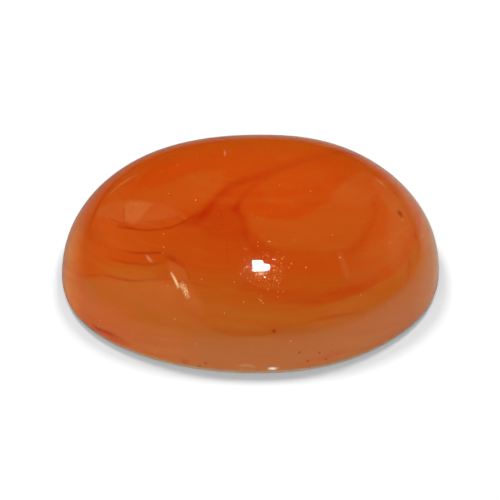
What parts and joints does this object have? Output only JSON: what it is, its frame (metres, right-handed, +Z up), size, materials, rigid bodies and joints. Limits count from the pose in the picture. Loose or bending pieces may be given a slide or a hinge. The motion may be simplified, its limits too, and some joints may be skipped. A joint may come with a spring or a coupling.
{
  "type": "carnelian cabochon",
  "caption": "Polished oval carnelian cabochon: a high translucent orange dome with faint red veins over a flat, bevelled base, to be set in a bezel.",
  "frame": {"origin": "middle of the flat base, on the surface the stone rests on", "axes": "+X along the oval's long axis, +Y across it away from the front, +Z up through the top of the dome"},
  "size_m": [0.016, 0.012, 0.0062],
  "materials": {
    "carnelian": "polished"
  },
  "bodies": {
    "root": {"carnelian_cabochon": "carnelian"}
  },
  "joints": []
}
